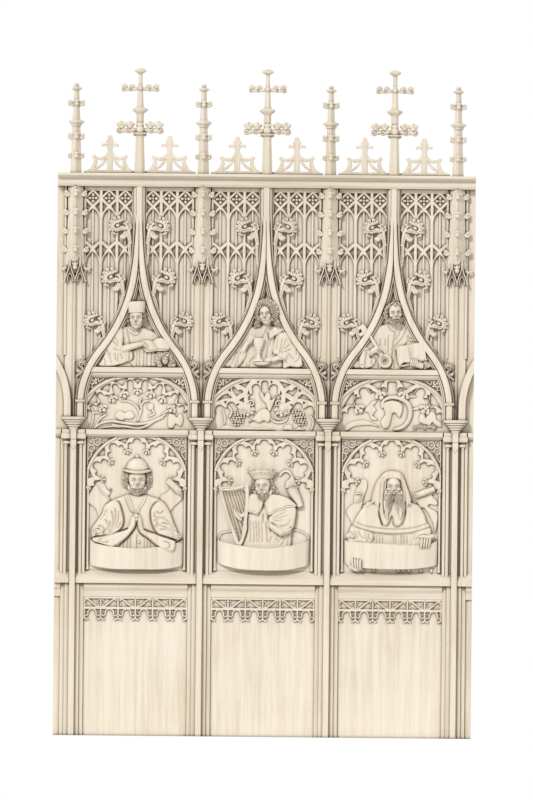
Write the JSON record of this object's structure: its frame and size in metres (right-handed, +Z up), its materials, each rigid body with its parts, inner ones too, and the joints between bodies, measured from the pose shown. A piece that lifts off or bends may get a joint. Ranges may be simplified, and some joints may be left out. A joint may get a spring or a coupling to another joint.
{
  "type": "choir stall high back",
  "caption": "Carved oak high back of a Gothic choir stall: framed panels with half figures under crocketed ogee gables, open tracery, pinnacles and finials.",
  "frame": {"origin": "on the floor, in the middle of the back plane", "axes": "+Z up; +X to the viewer's right; the carved front faces -Y and the plain back lies in the plane y = 0"},
  "size_m": [2.232, 0.16, 3.567],
  "materials": {
    "oak_frame": "planed and waxed pale oak",
    "oak_board": "flat oak boards, darker in the recesses",
    "oak_carving": "carved and waxed oak, polished on the edges",
    "oak_hidden": "sawn oak, unfinished"
  },
  "bodies": {
    "root": {"pier_post_1": "oak_frame", "pier_post_2": "oak_frame", "pier_post_3": "oak_frame", "pier_post_4": "oak_frame", "pier_shafts_1": "oak_frame", "pier_shafts_2": "oak_frame", "pier_shafts_3": "oak_frame", "pier_shafts_4": "oak_frame", "corbel_1": "oak_carving", "corbel_2": "oak_carving", "corbel_3": "oak_carving", "corbel_4": "oak_carving", "shaft_cluster_1": "oak_frame", "shaft_cluster_2": "oak_frame", "shaft_cluster_3": "oak_frame", "shaft_cluster_4": "oak_frame", "lower_pinnacle_1": "oak_carving", "lower_pinnacle_2": "oak_carving", "lower_pinnacle_3": "oak_carving", "lower_pinnacle_4": "oak_carving", "upper_pinnacle_1": "oak_carving", "upper_pinnacle_2": "oak_carving", "upper_pinnacle_3": "oak_carving", "upper_pinnacle_4": "oak_carving", "relief_arch_1": "oak_carving", "relief_arch_2": "oak_carving", "relief_arch_3": "oak_carving", "prophet_1": "oak_carving", "prophet_2": "oak_carving", "prophet_3": "oak_carving", "tympanum_arch_1": "oak_carving", "tympanum_arch_2": "oak_carving", "tympanum_arch_3": "oak_carving", "gable_bust_1": "oak_carving", "gable_bust_2": "oak_carving", "gable_bust_3": "oak_carving", "ogee_gable_1": "oak_carving", "ogee_gable_2": "oak_carving", "ogee_gable_3": "oak_carving", "tracery_1": "oak_carving", "tracery_2": "oak_carving", "tracery_3": "oak_carving", "finial_1": "oak_carving", "finial_2": "oak_carving", "finial_3": "oak_carving", "ground_sill": "oak_hidden", "lower_panels": "oak_board", "lower_heads": "oak_frame", "frieze": "oak_carving", "mid_rail": "oak_frame", "relief_panels": "oak_board", "relief_rail": "oak_frame", "tympanum_panels": "oak_board", "gable_rail": "oak_frame", "upper_panels": "oak_board", "cornice": "oak_frame", "cresting": "oak_carving", "end_stile_left": "oak_frame", "end_stile_right": "oak_frame"}
  },
  "joints": []
}
